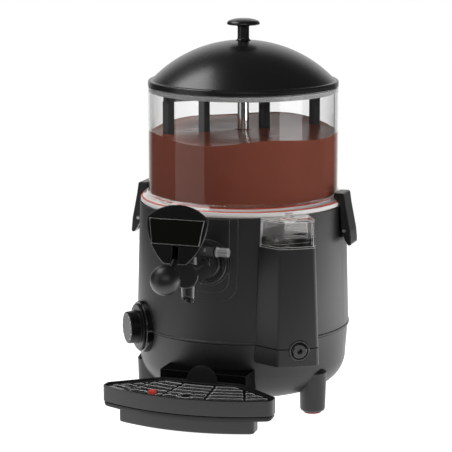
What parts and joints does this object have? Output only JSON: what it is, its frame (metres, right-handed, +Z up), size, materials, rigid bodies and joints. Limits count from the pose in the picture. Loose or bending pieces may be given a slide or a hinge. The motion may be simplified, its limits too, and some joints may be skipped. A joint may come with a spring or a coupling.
{
  "type": "hot chocolate dispenser",
  "caption": "Counter-top hot drink dispenser: clear covered bowl with a turning mixer over a heated housing, with a lever tap, thermostat dial and pull-out drip tray.",
  "frame": {"origin": "on the table, under the middle of the machine's overall box", "axes": "+Z up, front (tap and drip tray) towards -Y, +X to the machine's right as seen from the front"},
  "size_m": [0.2806, 0.422, 0.465],
  "materials": {
    "matte_black": "fine-grained moulded black plastic",
    "satin_black": "satin black plastic",
    "lid_black": "semi-gloss black plastic",
    "gloss_black": "gloss black plastic",
    "clear_bowl": "clear polycarbonate",
    "clear_container": "clear moulded plastic, holding water",
    "clear_cap": "clear moulded plastic",
    "red_rubber": "red silicone",
    "foot_rubber": "dark red rubber",
    "seal_rubber": "black rubber",
    "red_float": "red plastic",
    "grey_plastic": "light grey plastic",
    "bush_plastic": "off-white engineering plastic",
    "chrome": "polished",
    "stainless": "brushed stainless",
    "plated_steel": "zinc plated sheet",
    "motor_paint": "dark grey paint"
  },
  "bodies": {
    "housing": {"upper_housing": "matte_black", "base_pan": "matte_black", "bottom_cover": "plated_steel", "cover_screws": "plated_steel", "foot_pads": "foot_rubber", "cable_gland": "satin_black", "water_container": "clear_container", "drain_socket": "satin_black", "product_vessel": "stainless", "water_jacket": "stainless", "heating_element": "stainless", "centre_tube": "chrome", "shaft_bush": "bush_plastic", "motor_bracket": "plated_steel", "gear_motor": "motor_paint", "bowl_gasket": "red_rubber", "bowl": "clear_bowl", "tap_body": "satin_black", "tap_ring": "gloss_black", "tap_seal": "seal_rubber", "spring_cap": "satin_black", "tap_pin": "grey_plastic", "dial_bezel": "gloss_black", "thermostat_body": "bush_plastic", "clip_brackets": "matte_black", "clip_pins": "stainless", "tray_support": "matte_black"},
    "mixer": {"drive_shaft": "stainless", "mixer_hub": "satin_black", "mixer_arms": "satin_black", "mixer_foot": "satin_black", "mixer_blades": "satin_black"},
    "lid": {"lid": "lid_black", "lid_knob": "lid_black", "knob_screw": "stainless"},
    "filler_cap": {"water_filler_cap": "clear_cap"},
    "drain": {"drain_plug": "satin_black"},
    "dial": {"dial_knob": "satin_black"},
    "right_clip": {"right_clip_lever": "matte_black"},
    "left_clip": {"left_clip_lever": "matte_black"},
    "handle": {"tap_handle": "satin_black", "badge_plate": "gloss_black", "handle_ball": "gloss_black"},
    "plunger": {"tap_plunger": "satin_black", "cross_pin": "stainless", "plunger_orings": "seal_rubber", "plunger_spring": "stainless"},
    "tray": {"drip_tray": "matte_black"},
    "grid": {"drip_grid": "satin_black"},
    "float": {"tray_float": "red_float"}
  },
  "joints": [
    {"name": "mixer_turn", "type": "hinge", "parent": "housing", "child": "mixer", "pos_m": [0, 0.074, 0.2], "axis": [0, 0, 1], "continuous": true},
    {"name": "lid_lift", "type": "slide", "parent": "housing", "child": "lid", "axis": [0, 0, 1], "range_m": [0, 0.12]},
    {"name": "filler_cap_lift", "type": "slide", "parent": "housing", "child": "filler_cap", "axis": [0, 0, 1], "range_m": [0, 0.04]},
    {"name": "drain_plug_pull", "type": "slide", "parent": "housing", "child": "drain", "axis": [0.5358, -0.8443, 0], "range_m": [0, 0.03]},
    {"name": "dial_turn", "type": "hinge", "parent": "housing", "child": "dial", "pos_m": [0, 0.074, 0.0975], "axis": [-0.7771, -0.6293, 0], "range_deg": [0, 270]},
    {"name": "right_clip_turn", "type": "hinge", "parent": "housing", "child": "right_clip", "pos_m": [0.1315, 0.074, 0.217], "axis": [0, 1, 0], "range_deg": [0, 22]},
    {"name": "left_clip_turn", "type": "hinge", "parent": "housing", "child": "left_clip", "pos_m": [-0.1315, 0.074, 0.217], "axis": [0, -1, 0], "range_deg": [0, 22]},
    {"name": "handle_turn", "type": "hinge", "parent": "housing", "child": "handle", "pos_m": [0, -0.084, 0.212], "axis": [-1, 0, 0], "range_deg": [0, 19], "stiffness_Nm_per_rad": 0.8, "springref_deg": -34.38},
    {"name": "plunger_lift", "type": "slide", "parent": "housing", "child": "plunger", "axis": [0, 0, 1], "range_m": [0, 0.0124], "deforming": ["plunger_spring"]},
    {"name": "tray_slide", "type": "slide", "parent": "housing", "child": "tray", "axis": [0, -1, 0], "range_m": [0, 0.12]},
    {"name": "grid_lift", "type": "slide", "parent": "tray", "child": "grid", "axis": [0, 0, 1], "range_m": [0, 0.06]},
    {"name": "float_rise", "type": "slide", "parent": "tray", "child": "float", "axis": [0, 0, 1], "range_m": [0, 0.006]}
  ],
  "couplings": [
    {"joint": "plunger_lift", "follows": "handle_turn", "m_per_rad": 0.037}
  ]
}
